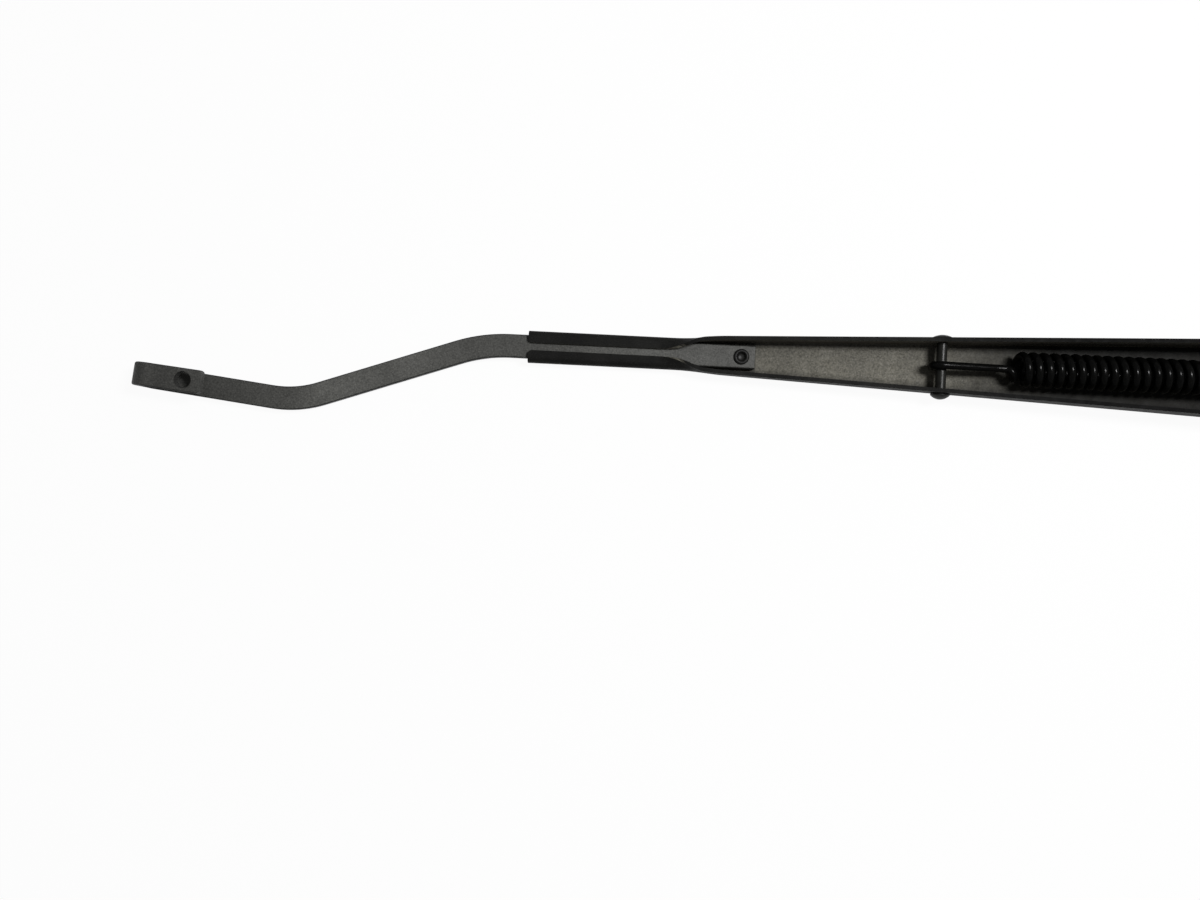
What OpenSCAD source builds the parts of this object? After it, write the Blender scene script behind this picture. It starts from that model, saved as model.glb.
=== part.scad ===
// Windscreen wiper arm with a J-hook bar, lying on its back with the side that faces the glass up.
// The spindle bore is the origin, +X points from the blade end to the head, and z = 0 is the
// face of the head that sits on the spindle. Lengths are in millimetres.

/* [Layout along the arm] */
// Distance from the spindle to the fold hinge
hinge_to_spindle = 52; // [46:0.5:64]
// Distance from the fold hinge to the cross pin that holds the spring
pin_to_hinge = 163.1; // [150:0.1:200]
// Distance from the cross pin to the rivet of the bar
rivet_to_pin = 76.3; // [60:0.1:90]
// Distance from the rivet to the mouth of the crimp
mouth_to_rivet = 82.1; // [70:0.1:100]

/* [Bar] */
// Width of the flat bar
bar_w = 9; // [7:0.1:10]
// Thickness of the flat bar
bar_t = 4; // [3:0.1:5]
// Radius of the bar's rolled edges
bar_edge_r = 0.8; // [0.3:0.1:1.2]
// Length of the bar past its rivet
bar_tail_l = 5.2; // [4:0.1:10]
// Distance from the crimp's mouth to the corner of the first bend
first_corner = 17.2; // [12:0.1:40]
// Angle of the first bend
first_bend = 19.55; // [5:0.05:28]
// Radius of the first bend, along the bar's middle
first_bend_r = 60; // [20:1:80]
// Distance between the corners of the two bends
corner_spacing = 75.45; // [50:0.05:110]
// Angle of the second bend
second_bend = 26.15; // [5:0.05:40]
// Radius of the second bend, along the bar's middle
second_bend_r = 42; // [20:1:70]
// Distance from the corner of the second bend to the tip of the hook
hook_reach = 62; // [50:0.1:90]

/* [Hook] */
// Gap between the bar and the folded lip
hook_gap = 4.5; // [4.2:0.1:8]
// Length of the lip from its free end to the tip of the hook
lip_l = 27.5; // [25.5:0.1:36]
// Angle by which the fold leads the lip off the bar, in plan
lip_skew = 0.9; // [0:0.1:3]
// Sideways step that the lip takes over the fold
lip_shift = 0.6; // [0:0.1:2]
// Rounding of the corners at the lip's free end
lip_corner_r = 1.3; // [0.5:0.1:2]
// Radius of the hole in the lip
lip_hole_r = 3.25; // [1.5:0.05:3.4]
// Distance from the tip of the hook to the hole
lip_hole_x = 20.9; // [15:0.1:21.5]

/* [Channel] */
// Thickness of the sheet
sheet_t = 1.5; // [1:0.1:2]
// Inner radius of the sheet's bends
sheet_r = 0.75; // [0.5:0.05:1.5]
// Gap on each side of the bar in the crimp
crimp_gap = 0.1; // [0.05:0.05:0.3]
// Length of each folded flange from the side of the crimp
flange_return = 4.65; // [4:0.05:5]
// Rounding of the flanges' corners at the mouth
mouth_corner_r = 1.6; // [0.5:0.1:3]
// Length of the fully folded crimp
crimp_l = 49.5; // [30:0.5:60]
// Length over which the flanges open upright
flare_l = 18.5; // [12:0.5:26]
// Distance from the crimp's end to the start of the widening
widen_start = 6; // [0:0.5:10]
// Length over which the crimp widens to the tapered channel
widen_l = 20; // [12:0.5:26]
// Outer width of the tapered channel at the rivet
width_at_rivet = 15.05; // [14:0.05:18]
// Outer width of the parallel ears at the hinge
width_at_hinge = 31.6; // [30:0.1:40]
// Length of the parallel stretch in front of the hinge
parallel_l = 23; // [18:0.5:40]
// Depth of the channel where the flanges stand upright
depth_at_flare = 9.7; // [9.4:0.1:12]
// Distance from the hinge to the end of the channel's web
web_end = 4; // [3:0.1:5]

/* [Head] */
// Height of the head, which is the channel's depth at the hinge
head_h = 20; // [19:0.1:26]
// Height of the hinge above the back
hinge_h = 7; // [6.5:0.1:9]
// Radius of the spindle bore
spindle_bore_r = 6; // [4:0.1:8]
// Depth of the seat for the nut, from the back
nut_seat_depth = 6; // [4:0.1:8]
// Radius of the head's round end
boss_r = 16.6; // [16:0.1:22]
// Radius of the seat for the nut
nut_seat_r = 11; // [9.5:0.1:12]
// Radius of the collar round the bore
collar_r = 10.5; // [9:0.1:13]
// Height of the collar above the head's rim
collar_h = 1.2; // [0.5:0.1:3]
// Radius of the long edges on the head's back
head_edge_r = 3; // [1:0.1:5]
// Radius of the edge round the head's rim
rim_edge_r = 1; // [0.5:0.1:1.5]
// Thickness of the head's walls
head_wall = 3; // [2:0.1:4]
// Radius of the corners of the head's pockets
pocket_corner_r = 2.5; // [1:0.1:3]
// Width of the slot for the spring link
slot_w = 6; // [5:0.1:9]

/* [Hinge] */
// Radius of the hinge pin
hinge_pin_r = 2.5; // [2:0.05:2.9]
// Running gap round the hinge pin
running_gap = 0.05; // [0.02:0.01:0.09]
// Wall of the hinge bushes
bush_wall = 0.95; // [0.6:0.05:1.2]
// Thickness of the bushes' flanges
bush_flange_t = 1; // [0.6:0.1:1.6]
// Radius of the bushes' flanges
bush_flange_r = 4.8; // [4.4:0.1:5]
// Gap between a bush's flange and the channel
side_gap = 0.2; // [0.1:0.05:0.4]
// Radius of the hinge pin's riveted heads
hinge_head_r = 4.2; // [3.5:0.1:5]
// Height of the hinge pin's riveted heads
hinge_head_h = 1.8; // [1:0.1:3]

/* [Spring link] */
// Radius of the link pin
link_pin_r = 2; // [1.5:0.05:2.2]
// Distance from the hinge to the link pin, towards the spindle
link_pin_x = 4; // [3:0.1:5]
// Height of the link pin above the hinge
link_pin_z = 6.5; // [6.3:0.1:7.5]
// Thickness of the link plate
link_t = 3; // [2:0.1:3]
// Width of the link's strap
link_strap = 3; // [2:0.1:3.2]
// Distance between the link's two holes
link_l = 27.5; // [25:0.1:36]
// Largest fold angle, which the link bows over the hinge pin for
fold_max = 65; // [45:1:68]
// Wall of the link round its pin
link_ring_wall = 2.4; // [1.5:0.1:2.6]
// Wall of the link round the spring's eye
eye_wall = 2; // [1.5:0.1:2.4]
// Gap between the bow and the hinge pin at the largest fold
bow_gap = 0.4; // [0.3:0.05:1]

/* [Spring] */
// Diameter of the spring's wire
wire_d = 3; // [2:0.1:3.2]
// Outer diameter of the coils
coil_od = 13.7; // [11:0.1:14]
// Distance from the cross pin to the first full coil
shank_l = 29.2; // [26:0.1:44]
// Number of coils
coils = 26; // [16:1:28]
// Radius of the bend from the last coil into the loop
loop_bend = 2.2; // [1.8:0.1:3]
// Radius of the cross pin
cross_pin_r = 2; // [1.5:0.05:2.4]
// Height of the cross pin above the back
cross_pin_h = 7.7; // [7.1:0.1:8.5]
// Radius of the cross pin's heads
cross_head_r = 3.6; // [2.8:0.05:4.5]
// Height of the flatter head
cross_head_flat_h = 1.3; // [0.8:0.1:3]
// Height of the domed head
cross_head_dome_h = 2.3; // [1:0.1:3.5]

/* [Bar rivet] */
// Radius of the rivet's shank
rivet_r = 2; // [1.5:0.05:2.4]
// Radius of the rivet's head
rivet_head_r = 3.05; // [2.6:0.05:4]
// Height of the rivet's head
rivet_head_h = 0.8; // [0.4:0.1:1.5]
// Radius of the hollow in the rivet's head
rivet_hollow_r = 1.1; // [0.6:0.05:1.3]
// Depth of the hollow
rivet_hollow_depth = 1.6; // [0.5:0.1:3]

/* [Hidden] */
$fn = 64;
cut = 1;

// Stations along X
hinge_x = -hinge_to_spindle;
pin_x = hinge_x - pin_to_hinge;
rivet_x = pin_x - rivet_to_pin;
mouth_x = rivet_x - mouth_to_rivet;
crimp_end_x = mouth_x + crimp_l;
upright_x = crimp_end_x + flare_l;
widen_x = crimp_end_x + widen_start;
bar_held_l = mouth_to_rivet + bar_tail_l;
parallel_x = hinge_x - parallel_l;

// Heights, counted from the back plane on which the arm lies
back_z = -head_h;
hinge_z = back_z + hinge_h;
cross_pin_z = back_z + cross_pin_h;
bar_z = back_z + sheet_t;

// Section of the channel
bend_out_r = sheet_r + sheet_t;
bend_mid_r = sheet_r + sheet_t / 2;
bend_len = bend_mid_r * PI / 2;
crimp_w = bar_w + 2 * (crimp_gap + sheet_t);
crimp_h = bar_t + 2 * sheet_t;
fold_z = crimp_h - bend_out_r;
sheet_left = 0.3;
ear_inner = width_at_hinge / 2 - sheet_t;
cheek_y = ear_inner - side_gap - bush_flange_t;
ear_r = hinge_h;
shoulder_gap = 0.4;
neck_gap = 0.5;
cheek_wall = 2.5;
eye_gap = 0.55;
hook_gap_at_pin = 0.1;
BEND_STEPS = 4;

// Link pin and the line of the spring, seen from the side
link_x = hinge_x + link_pin_x;
link_z = hinge_z + link_pin_z;
line_run = link_x - pin_x;
line_rise = link_z - cross_pin_z;
line_l = norm([line_run, line_rise]);
line_angle = atan2(line_rise, line_run);
coil_r = (coil_od - wire_d) / 2;
hook_r = cross_pin_r + wire_d / 2 + hook_gap_at_pin;

// Place of the hinge in the link's own frame once the arm is folded by fold_max
arm_x = -pin_to_hinge;
arm_z = cross_pin_z - hinge_z;
folded_x = arm_x * cos(fold_max) - arm_z * sin(fold_max) - link_pin_x;
folded_z = arm_x * sin(fold_max) + arm_z * cos(fold_max) - link_pin_z;
folded_l = norm([folded_x, folded_z]);
bow_x = -(link_pin_x * folded_x + link_pin_z * folded_z) / folded_l;
bow_z = (-link_pin_x * folded_z + link_pin_z * folded_x) / folded_l;

function smooth(t) = let (u = max(0, min(1, t))) u * u * (3 - 2 * u);
function mix(a, b, t) = a + (b - a) * t;
function arc(c, r, from, to, steps) =
    [for (i = [0 : steps]) let (a = mix(from, to, i / steps)) c + r * [cos(a), sin(a)]];
function reverse(list) = [for (i = [len(list) - 1 : -1 : 0]) list[i]];
function mirrored(list) = [for (i = [len(list) - 1 : -1 : 0]) [-list[i][0], list[i][1]]];

// Rectangle with rounded corners, centred on the origin
function rounded(w, h, r, steps = 4) = concat(
    arc([w / 2 - r, h / 2 - r], r, 0, 90, steps), arc([r - w / 2, h / 2 - r], r, 90, 180, steps),
    arc([r - w / 2, r - h / 2], r, 180, 270, steps), arc([w / 2 - r, r - h / 2], r, 270, 360, steps));

// Channel: half width, depth and fold of the flanges at a station
taper = (width_at_hinge - width_at_rivet) / 2 / (parallel_x - rivet_x);
function taper_w(x) = width_at_rivet / 2 + taper * (min(x, parallel_x) - rivet_x);
function half_w(x) = mix(crimp_w / 2, taper_w(x), smooth((x - widen_x) / widen_l));
function flange_fold(x) = 90 * (1 - smooth((x - crimp_end_x) / flare_l));
function depth(x) =
    mix(head_h, depth_at_flare, max(0, min(1, (hinge_x - x) / (hinge_x - upright_x))));
function flange_l(x) =
    mix(flange_return - bend_out_r, depth(x) - fold_z - bend_len, smooth((x - crimp_end_x) / flare_l));

// Points of the sheet's middle line on one side, each with its outward normal: [y, z, ny, nz]
function half_line(x) =
    let (w = half_w(x), fold = flange_fold(x), turn = bend_len / (max(fold, 1) * PI / 180))
    concat(
        [for (i = [0 : BEND_STEPS]) let (a = -90 + 90 * i / BEND_STEPS)
            [w - bend_out_r + bend_mid_r * cos(a), bend_out_r + bend_mid_r * sin(a), cos(a), sin(a)]],
        [for (i = [0 : BEND_STEPS]) let (a = fold * i / BEND_STEPS)
            fold < 1
            ? [w - sheet_t / 2, fold_z + bend_len * i / BEND_STEPS, 1, 0]
            : [w - sheet_t / 2 - turn * (1 - cos(a)), fold_z + turn * sin(a), cos(a), sin(a)]],
        let (end = fold < 1 ? [w - sheet_t / 2, fold_z + bend_len]
            : [w - sheet_t / 2 - turn * (1 - cos(fold)), fold_z + turn * sin(fold)], f = flange_l(x))
        [[end[0] - f * sin(fold), end[1] + f * cos(fold), fold < 1 ? 1 : cos(fold),
            fold < 1 ? 0 : sin(fold)]]);

function side_of(line, side) =
    [for (p = line) [p[0] + side * p[2] * sheet_t / 2, p[1] + side * p[3] * sheet_t / 2]];

// Closed outline of the section: the outside from left to right, then the inside back
function section(x) =
    let (line = half_line(x), outer = side_of(line, 1), inner = side_of(line, -1))
    [for (p = concat(mirrored(outer), outer, reverse(inner), reverse(mirrored(inner))))
        [x, p[0], back_z + p[1]]];

FLARE_STEPS = 16;
TAPER_STEPS = 12;
flare_end_x = max(upright_x, widen_x + widen_l);
stations = concat(
    [mouth_x],
    [for (i = [0 : FLARE_STEPS]) mix(crimp_end_x, flare_end_x, i / FLARE_STEPS)],
    [for (i = [1 : TAPER_STEPS]) mix(flare_end_x, parallel_x, i / TAPER_STEPS)],
    [mix(parallel_x, hinge_x, 0.5), hinge_x, hinge_x + ear_r + cut]);

module loft(rings) {
    n = len(rings[0]);
    last = len(rings) - 1;
    half = n / 2;
    sides = [for (k = [0 : last - 1], i = [0 : n - 1]) let (a = k * n + i, b = k * n + (i + 1) % n)
        each [[a, b + n, b], [a, a + n, b + n]]];
    ends = [for (i = [0 : half - 2]) let (j = n - 1 - i)
        each [[i, i + 1, j], [i + 1, j - 1, j],
              [last * n + i, last * n + j, last * n + i + 1],
              [last * n + i + 1, last * n + j, last * n + j - 1]]];
    polyhedron(points = [for (ring = rings) each ring], faces = concat(sides, ends), convexity = 10);
}

// Cylinder along +Y, centred on y
module cross_cylinder(x, z, r, length, y = 0) {
    translate([x, y + length / 2, z]) rotate([90, 0, 0]) cylinder(r = r, h = length);
}

// Shape drawn in the side view, extruded across the arm
module across(width) {
    translate([0, width / 2, 0]) rotate([90, 0, 0]) linear_extrude(width, convexity = 10) children();
}

module channel() {
    span = width_at_hinge + 2 * cut;
    slope_x = parallel_l - cut;
    slope_z = head_h - hinge_h;
    slope_l = norm([slope_x, slope_z]);
    touch = atan2(slope_z, -slope_x) - acos(ear_r / slope_l);
    color([0.16, 0.16, 0.155]) difference() {
        loft([for (x = stations) section(x)]);
        // Open end of the web between the ears
        translate([hinge_x - web_end, -ear_inner, back_z - cut])
            cube([web_end + ear_r + 2 * cut, 2 * ear_inner, hinge_h + cut]);
        // Rounded ears
        translate([hinge_x, 0, hinge_z]) across(span) difference() {
            polygon([[-slope_x, slope_z], [-slope_x, slope_z + cut], [ear_r + 2 * cut, slope_z + cut],
                [ear_r + 2 * cut, -ear_r - cut], [0, -ear_r - cut], [0, 0],
                ear_r * [cos(touch), sin(touch)]]);
            circle(r = ear_r);
        }
        // Corners of the flanges at the mouth
        for (side = [-1, 1]) mouth_corner(side);
        cross_cylinder(hinge_x, hinge_z, hinge_pin_r, span);
        cross_cylinder(pin_x, cross_pin_z, cross_pin_r, span);
        translate([rivet_x, 0, back_z - cut]) cylinder(r = rivet_r, h = sheet_t + 2 * cut);
        rivet_foot(cut);
    }
}

module mouth_corner(side) {
    edge = crimp_w / 2 - flange_return;
    translate([mouth_x, side * edge, back_z + crimp_h - sheet_t - crimp_gap / 2])
        linear_extrude(sheet_t + cut) difference() {
            polygon([[-cut, -side * cut], [-cut, side * mouth_corner_r],
                [mouth_corner_r, side * mouth_corner_r], [mouth_corner_r, -side * cut]]);
            translate([mouth_corner_r, side * mouth_corner_r]) circle(r = mouth_corner_r);
        }
}

// Countersunk foot of the rivet, flush with the back
module rivet_foot(extra = 0) {
    deep = sheet_t - sheet_left;
    translate([rivet_x, 0, back_z]) cylinder(r1 = rivet_r + deep, r2 = rivet_r, h = deep);
    if (extra > 0)
        translate([rivet_x, 0, back_z - extra]) cylinder(r = rivet_r + deep, h = extra);
}

module bar_rivet() {
    base = bar_z + bar_t;
    ring_r = (rivet_hollow_r + rivet_head_r) / 2;
    step = rivet_head_h / 5;
    color([0.1, 0.1, 0.1]) difference() {
        union() {
            rivet_foot();
            translate([rivet_x, 0, back_z]) cylinder(r = rivet_r, h = base - back_z);
            translate([rivet_x, 0, base]) rotate_extrude() polygon([
                [0, 0], [rivet_head_r, 0], [rivet_head_r, 2 * step], [rivet_head_r - 2 * step, 4 * step],
                [ring_r, 4 * step], [ring_r - step, 5 * step], [0, 5 * step]]);
        }
        translate([rivet_x, 0, base + rivet_head_h - rivet_hollow_depth])
            cylinder(r = rivet_hollow_r, h = rivet_hollow_depth + cut);
    }
}

// Bar: steps of [length, turn in plan, turn upwards, sideways step], each turn taken half before and
// half after its length
BEND_RINGS = 10;
FOLD_RINGS = 18;
first_tangent = first_bend_r * tan(first_bend / 2);
second_tangent = second_bend_r * tan(second_bend / 2);
hook_out_r = hook_gap / 2 + bar_t;
lip_run = lip_l - hook_out_r;

function chord(angle, radius, n) = 2 * radius * sin(abs(angle) / n / 2);
function edge_bend(angle, radius) =
    [for (i = [1 : BEND_RINGS]) [chord(angle, radius, BEND_RINGS), angle / BEND_RINGS, 0]];
bar_steps = concat(
    [[bar_held_l + first_corner - first_tangent, 0, 0]],
    edge_bend(first_bend, first_bend_r),
    [[corner_spacing - first_tangent - second_tangent, 0, 0]],
    edge_bend(-second_bend, second_bend_r),
    [[hook_reach - second_tangent - hook_out_r, 0, 0]],
    [for (i = [1 : FOLD_RINGS])
        [chord(180, (hook_gap + bar_t) / 2, FOLD_RINGS), 0, 180 / FOLD_RINGS, lip_shift / FOLD_RINGS]],
    [[lip_run / 8, -lip_skew, 0], [lip_run * 7 / 8, 0, 0]]);

function shift(x, y = 0, z = 0) = [[1, 0, 0, x], [0, 1, 0, y], [0, 0, 1, z], [0, 0, 0, 1]];
function turned(yaw, up) =
    [[cos(yaw), -sin(yaw), 0, 0], [sin(yaw), cos(yaw), 0, 0], [0, 0, 1, 0], [0, 0, 0, 1]] *
    [[cos(up), 0, sin(up), 0], [0, 1, 0, 0], [-sin(up), 0, cos(up), 0], [0, 0, 0, 1]];
function step_on(m, s) =
    m * turned(s[1] / 2, s[2] / 2) * shift(-s[0], len(s) > 3 ? s[3] : 0) * turned(s[1] / 2, s[2] / 2);
bar_frames = [for (i = 0, m = shift(mouth_x + bar_held_l, 0, bar_z + bar_t / 2); i <= len(bar_steps);
    i = i + 1, m = i > len(bar_steps) ? m : step_on(m, bar_steps[i - 1])) m];
function placed(m, p) = let (q = m * [p[0], p[1], p[2], 1]) [q[0], q[1], q[2]];

// Skin over rings of points that run counter-clockwise round the way ahead, closed at both ends
module skin(rings) {
    n = len(rings[0]);
    last = len(rings) - 1;
    walls = [for (k = [0 : last - 1], i = [0 : n - 1]) let (a = k * n + i, b = k * n + (i + 1) % n)
        each [[a, b + n, b], [a, a + n, b + n]]];
    ends = [[for (i = [0 : n - 1]) i], [for (i = [n - 1 : -1 : 0]) last * n + i]];
    polyhedron(points = [for (ring = rings) each ring], faces = concat(walls, ends), convexity = 10);
}

module bar() {
    section = rounded(bar_w, bar_t, bar_edge_r, 3);
    color([0.33, 0.32, 0.31]) difference() {
        skin([for (m = bar_frames) [for (p = section) placed(m, [0, -p[0], p[1]])]]);
        translate([rivet_x, 0, bar_z - cut]) cylinder(r = rivet_r, h = bar_t + 2 * cut);
        multmatrix(bar_frames[len(bar_frames) - 1]) lip_cuts();
    }
}

// Hole of the lip and the rounding of its free corners, from the lip's end towards the tip.
// The corners' circles reach slightly past the faces, which they would otherwise only touch.
module lip_cuts() {
    deep = bar_t / 2 + cut;
    past = 0.02;
    translate([lip_l - lip_hole_x, 0, -deep]) cylinder(r = lip_hole_r, h = 2 * deep);
    for (side = [-1, 1])
        translate([lip_corner_r - past, side * (bar_w / 2 - lip_corner_r + past), -deep])
            linear_extrude(2 * deep) difference() {
                polygon([[0, 0], [0, side * (lip_corner_r + cut)],
                    [-lip_corner_r - cut, side * (lip_corner_r + cut)], [-lip_corner_r - cut, 0]]);
                circle(r = lip_corner_r);
            }
}

// Head: a body with rounded back edges, a forked neck and a collar round the spindle bore
rim_z = -collar_h;
collar_edge = 0.4;
shoulder_x = hinge_x + ear_r + shoulder_gap;
neck_r = hinge_h - sheet_t - neck_gap;
cheek_r = link_pin_r + cheek_wall;
ring_r = link_pin_r + link_ring_wall;
slot_end_x = link_x + ring_r + 1;
pocket_floor = 4;

// Outline of the head's side from the back up to the rim, at a distance w from its middle
function head_side(w) = concat(
    arc([w - head_edge_r, head_edge_r - head_h], head_edge_r, -90, 0, 6),
    arc([w - rim_edge_r, rim_z - rim_edge_r], rim_edge_r, 0, 90, 3));

module head_body() {
    side = head_side(width_at_hinge / 2);
    rotate([0, -90, 0]) rotate([0, 0, -90]) linear_extrude(-shoulder_x)
        polygon(concat(side, mirrored(side)));
    rotate_extrude() polygon(concat([[0, -head_h]], head_side(boss_r), [[0, rim_z]]));
    rotate_extrude() polygon([[0, rim_z - cut], [collar_r, rim_z - cut], [collar_r, -collar_edge],
        [collar_r - collar_edge, 0], [0, 0]]);
}

// Neck and cheeks, which fill the space between the bushes' flanges
module neck() {
    reach = norm([link_pin_x, link_pin_z]);
    tangent = atan2(link_pin_z, link_pin_x) + acos((neck_r - cheek_r) / reach);
    into_body = ear_r + shoulder_gap + cut;
    translate([hinge_x, 0, hinge_z]) across(2 * cheek_y)
        polygon(concat(
            arc([0, 0], neck_r, -45, tangent - 360, 16),
            arc([link_pin_x, link_pin_z], cheek_r, tangent, 90, 6),
            [[into_body, link_pin_z + cheek_r], [into_body, head_edge_r - hinge_h]]));
}

module pocket(side) {
    inner = head_wall / 2;
    outer = width_at_hinge / 2 - head_wall;
    x0 = slot_end_x + head_wall;
    x1 = -nut_seat_r - head_wall;
    translate([(x0 + x1) / 2, side * (inner + outer) / 2, back_z + pocket_floor])
        linear_extrude(head_h) polygon(rounded(x1 - x0, outer - inner, pocket_corner_r, 6));
}

module head() {
    color([0.13, 0.13, 0.13]) difference() {
        union() {
            head_body();
            neck();
        }
        translate([0, 0, back_z - cut]) cylinder(r = spindle_bore_r, h = head_h + 2 * cut);
        translate([0, 0, back_z - cut]) cylinder(r = nut_seat_r, h = nut_seat_depth + cut);
        for (side = [-1, 1]) pocket(side);
        slot_start = hinge_x - neck_r - cut;
        translate([slot_start, -slot_w / 2, back_z - cut])
            cube([slot_end_x - slot_w / 2 - slot_start, slot_w, head_h + 2 * cut]);
        translate([slot_end_x - slot_w / 2, 0, back_z - cut]) cylinder(d = slot_w, h = head_h + 2 * cut);
        cross_cylinder(hinge_x, hinge_z, hinge_pin_r + running_gap + bush_wall, width_at_hinge);
        cross_cylinder(link_x, link_z, link_pin_r, width_at_hinge);
    }
}

// Flanged bush, pressed into a cheek of the fork
module hinge_bush(side) {
    wall_r = hinge_pin_r + running_gap + bush_wall;
    inner_y = slot_w / 2;
    color([0.55, 0.54, 0.5]) difference() {
        union() {
            cross_cylinder(hinge_x, hinge_z, wall_r, cheek_y - inner_y, side * (cheek_y + inner_y) / 2);
            cross_cylinder(hinge_x, hinge_z, bush_flange_r, bush_flange_t,
                side * (cheek_y + bush_flange_t / 2));
        }
        cross_cylinder(hinge_x, hinge_z, hinge_pin_r + running_gap, 2 * width_at_hinge);
    }
}

module hinge_bush_left() {
    hinge_bush(1);
}

module hinge_bush_right() {
    hinge_bush(-1);
}

// Head of a riveted pin: a dome of the given height on a short rim, along +Z
module rivet_dome(r, h) {
    dome = h * 0.7;
    ball_r = (r * r + dome * dome) / (2 * dome);
    spread = asin(r / ball_r);
    rotate_extrude() polygon(concat([[0, 0], [r, 0]],
        arc([0, h - ball_r], ball_r, 90 - spread, 90, 8)));
}

module pin_with_domes(x, z, r, seat, head_r, left_h, right_h) {
    cross_cylinder(x, z, r, 2 * seat);
    translate([x, seat, z]) rotate([-90, 0, 0]) rivet_dome(head_r, left_h);
    translate([x, -seat, z]) rotate([90, 0, 0]) rivet_dome(head_r, right_h);
}

module hinge_pin() {
    color([0.2, 0.2, 0.2])
        pin_with_domes(hinge_x, hinge_z, hinge_pin_r, width_at_hinge / 2, hinge_head_r,
            hinge_head_h, hinge_head_h);
}

module cross_pin() {
    color([0.12, 0.12, 0.12])
        pin_with_domes(pin_x, cross_pin_z, cross_pin_r, half_w(pin_x + cross_head_r), cross_head_r,
            cross_head_flat_h, cross_head_dome_h);
}

module link_pin() {
    color([0.4, 0.4, 0.4]) cross_cylinder(link_x, link_z, link_pin_r, 2 * cheek_y);
}

// Link plate, bowed so that it clears the hinge pin when the arm is folded
module spring_link() {
    bow_r = hinge_pin_r + bow_gap;
    eye_r = wire_d / 2 + eye_gap;
    eye_ring_r = eye_r + eye_wall;
    color([0.25, 0.25, 0.25]) across(link_t)
        translate([link_x, link_z]) rotate(line_angle) difference() {
            union() {
                circle(r = ring_r);
                translate([-link_l, 0]) circle(r = eye_ring_r);
                translate([-link_l, -link_strap / 2]) square([link_l - bow_x - bow_r, link_strap]);
                translate([-bow_x - bow_r - link_strap, -link_strap / 2])
                    square([link_strap, link_strap / 2 + max(bow_z, 0)]);
                translate([bow_r - bow_x, 0]) square([link_strap, max(bow_z, 0.1)]);
                translate([-bow_x, bow_z]) difference() {
                    circle(r = bow_r + link_strap);
                    translate([-3 * (bow_r + link_strap), -2 * (bow_r + link_strap)])
                        square([6 * (bow_r + link_strap), 2 * (bow_r + link_strap)]);
                }
            }
            translate([-bow_x, bow_z]) circle(r = bow_r);
            circle(r = link_pin_r + running_gap);
            translate([-link_l, 0]) circle(r = eye_r);
        }
}

// Spring: points of its wire along its own line, as [along, across, up]
PER_TURN = 16;
WIRE_SIDES = 8;
INNER_RINGS = 10;
inner_l = 5;
loop_gap = 0.3;
loop_s = line_l - link_l - coil_r;
coil_end = loop_s - loop_bend - loop_gap;
turns = coils - 0.25;
pitch = (coil_end - shank_l) / turns;
inner_s = shank_l - inner_l;
tangent_a = acos(hook_r / inner_s);

// Hook round the cross pin, then the straight shank
hook_points = concat(
    [for (p = arc([0, 0], hook_r, 300, tangent_a, 14)) [p[0], 0, p[1]]],
    [for (i = [1 : 3]) mix([hook_r * cos(tangent_a), 0, hook_r * sin(tangent_a)], [inner_s, 0, 0], i / 4)]);

// Half a turn that widens from the middle of the spring to a full coil, which starts at its back
inner_points = [for (i = [0 : INNER_RINGS]) let (
    u = i / INNER_RINGS, a = 90 + 180 * u, slope = pitch / 2, r = coil_r * smooth(u))
    [inner_s + (2 * inner_l - slope) * u + (slope - inner_l) * u * u, r * cos(a), r * sin(a)]];
coil_points = [for (i = [1 : PER_TURN * turns]) let (a = 270 + 360 * i / PER_TURN)
    [shank_l + pitch * i / PER_TURN, coil_r * cos(a), coil_r * sin(a)]];

// Bend out of the last coil, then the loop through the link's eye
bend_points = [for (p = arc([coil_end + loop_bend, 0], loop_bend, 210, 270, 3)) [p[0], -coil_r, p[1]]];
loop_points = [for (i = [1 : 12]) let (a = -90 + 175 * i / 12)
    [loop_s + coil_r * cos(a), coil_r * sin(a), -loop_bend * (1 - smooth((a + 90) / 70))]];

spring_path = [for (p = concat(hook_points, inner_points, coil_points, bend_points, loop_points))
    [pin_x + p[0] * cos(line_angle) - p[2] * sin(line_angle), p[1],
     cross_pin_z + p[0] * sin(line_angle) + p[2] * cos(line_angle)]];

function unit(v) = v / norm(v);
function heading(path, i) = unit(path[min(i + 1, len(path) - 1)] - path[max(i - 1, 0)]);
function square_to(v, t) = unit(v - (v * t) * t);

// Round wire along a path, with its rings kept from twisting
module wire(path, r, sides) {
    last = len(path) - 1;
    normals = [for (i = 0, n = square_to([0, 1, 0.01], heading(path, 0)); i <= last;
        i = i + 1, n = square_to(n, heading(path, min(i, last)))) n];
    skin([for (i = [0 : last]) let (t = heading(path, i), n = normals[i], b = cross(t, n))
        [for (k = [0 : sides - 1])
            path[i] + r * (cos(360 * k / sides) * n + sin(360 * k / sides) * b)]]);
}

module tension_spring() {
    color([0.07, 0.07, 0.07]) wire(spring_path, wire_d / 2, WIRE_SIDES);
}

head();
hinge_bush_left();
hinge_bush_right();
link_pin();
spring_link();
tension_spring();
channel();
hinge_pin();
cross_pin();
bar();
bar_rivet();
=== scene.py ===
"""Wiper arm with a J-hook bar, seen from above on a white ground.

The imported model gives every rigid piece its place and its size. This script rounds the edges of
those pieces, turns the rivet with its hollow head, winds the tension spring as a true coil, and
gives each piece its finish. Places and sizes are in metres, and a name that ends in _mm holds
millimetres.
"""

from __future__ import annotations

import logging
import math
from dataclasses import dataclass, field, replace
from enum import Enum, IntEnum
from typing import Callable, Iterable, NamedTuple, Sequence, Union

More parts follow.
